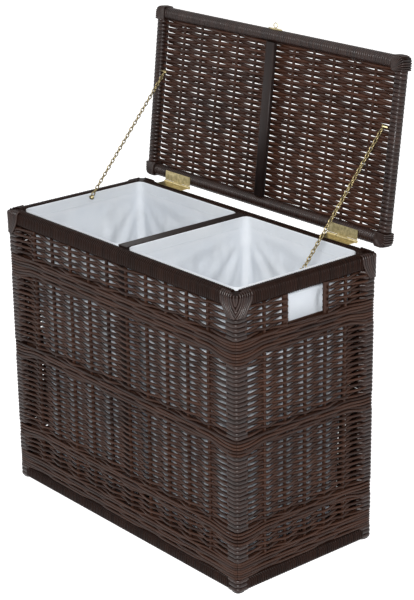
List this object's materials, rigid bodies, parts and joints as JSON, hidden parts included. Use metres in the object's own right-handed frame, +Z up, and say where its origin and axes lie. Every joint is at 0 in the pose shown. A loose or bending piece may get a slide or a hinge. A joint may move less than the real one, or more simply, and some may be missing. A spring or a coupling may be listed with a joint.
{
  "type": "laundry hamper with two bins",
  "caption": "Woven reed hamper on a wooden frame with two cloth-lined bins, side handle holes, and a hinged lid with a brass ring pull that two chains hold open.",
  "frame": {"origin": "middle of the bounding box of the open hamper, on the floor", "axes": "+X to the right end seen from the front, -Y toward the front, +Z up"},
  "size_m": [0.732, 0.4452, 0.9919],
  "materials": {
    "reed": "dark stained woven reed, satin",
    "wood": "dark stained rails wrapped with reed, satin",
    "board": "stained board, matte",
    "cotton": "plain white cotton, matte",
    "brass": "aged yellow brass, satin"
  },
  "bodies": {
    "body": {"corner_post_front_left": "wood", "corner_post_front_right": "wood", "corner_post_back_left": "wood", "corner_post_back_right": "wood", "top_rail_front": "wood", "top_rail_back": "wood", "top_rail_left": "wood", "top_rail_right": "wood", "bottom_rail_front": "wood", "bottom_rail_back": "wood", "bottom_rail_left": "wood", "bottom_rail_right": "wood", "corner_binding_front_left": "reed", "corner_binding_front_right": "reed", "corner_binding_back_left": "reed", "corner_binding_back_right": "reed", "stakes_front": "reed", "stakes_back": "reed", "stakes_left": "reed", "stakes_right": "reed", "weaver_front": "reed", "weaver_back": "reed", "weaver_left": "reed", "weaver_right": "reed", "centre_post_front": "wood", "centre_post_back": "wood", "divider_bar": "wood", "base_board": "board", "liner_left": "cotton", "liner_right": "cotton", "hinge_leaf_body_left": "brass", "hinge_leaf_body_right": "brass", "hinge_pin_left": "brass", "hinge_pin_right": "brass", "chain_screw_rim_left": "brass", "chain_screw_rim_right": "brass"},
    "lid": {"lid_rail_front": "wood", "lid_rail_back": "wood", "lid_rail_left": "wood", "lid_rail_right": "wood", "lid_corner_front_left": "reed", "lid_corner_front_right": "reed", "lid_corner_back_left": "reed", "lid_corner_back_right": "reed", "lid_stakes": "reed", "lid_weaver": "reed", "lid_centre_bar": "wood", "hinge_leaf_lid_left": "brass", "hinge_leaf_lid_right": "brass", "chain_screw_lid_left": "brass", "chain_screw_lid_right": "brass", "pull_plate": "brass", "pull_ring": "brass"},
    "chain_left_upper": {"chain_left_upper": "brass"},
    "chain_left_middle": {"chain_left_middle": "brass"},
    "chain_left_lower": {"chain_left_lower": "brass"},
    "chain_right_upper": {"chain_right_upper": "brass"},
    "chain_right_middle": {"chain_right_middle": "brass"},
    "chain_right_lower": {"chain_right_lower": "brass"}
  },
  "joints": [
    {"name": "lid_hinge", "type": "hinge", "parent": "body", "child": "lid", "pos_m": [0, 0.15312, 0.6115], "axis": [1, 0, 0], "range_deg": [0, 96.5]},
    {"name": "chain_left_lid_end", "type": "hinge", "parent": "lid", "child": "chain_left_upper", "pos_m": [-0.3287, 0.18601, 0.84276], "axis": [1, 0, 0], "range_deg": [-55.49, 0]},
    {"name": "chain_left_bend", "type": "hinge", "parent": "chain_left_upper", "child": "chain_left_middle", "pos_m": [-0.3287, 0.08131, 0.72238], "axis": [1, 0, 0], "range_deg": [0, 132.53]},
    {"name": "chain_left_rim_end", "type": "hinge", "parent": "body", "child": "chain_left_lower", "pos_m": [-0.3287, -0.02338, 0.602], "axis": [1, 0, 0], "range_deg": [-152.54, 0]},
    {"name": "chain_right_lid_end", "type": "hinge", "parent": "lid", "child": "chain_right_upper", "pos_m": [0.3287, 0.18601, 0.84276], "axis": [1, 0, 0], "range_deg": [-55.49, 0]},
    {"name": "chain_right_bend", "type": "hinge", "parent": "chain_right_upper", "child": "chain_right_middle", "pos_m": [0.3287, 0.08131, 0.72238], "axis": [1, 0, 0], "range_deg": [0, 132.53]},
    {"name": "chain_right_rim_end", "type": "hinge", "parent": "body", "child": "chain_right_lower", "pos_m": [0.3287, -0.02338, 0.602], "axis": [1, 0, 0], "range_deg": [-152.54, 0]}
  ],
  "couplings": [
    {"joint": "chain_left_lid_end", "follows": "lid_hinge", "ratio": -0.57499},
    {"joint": "chain_left_bend", "follows": "lid_hinge", "ratio": 1.3733},
    {"joint": "chain_left_rim_end", "follows": "lid_hinge", "ratio": -1.5807},
    {"joint": "chain_right_lid_end", "follows": "lid_hinge", "ratio": -0.57499},
    {"joint": "chain_right_bend", "follows": "lid_hinge", "ratio": 1.3733},
    {"joint": "chain_right_rim_end", "follows": "lid_hinge", "ratio": -1.5807}
  ]
}
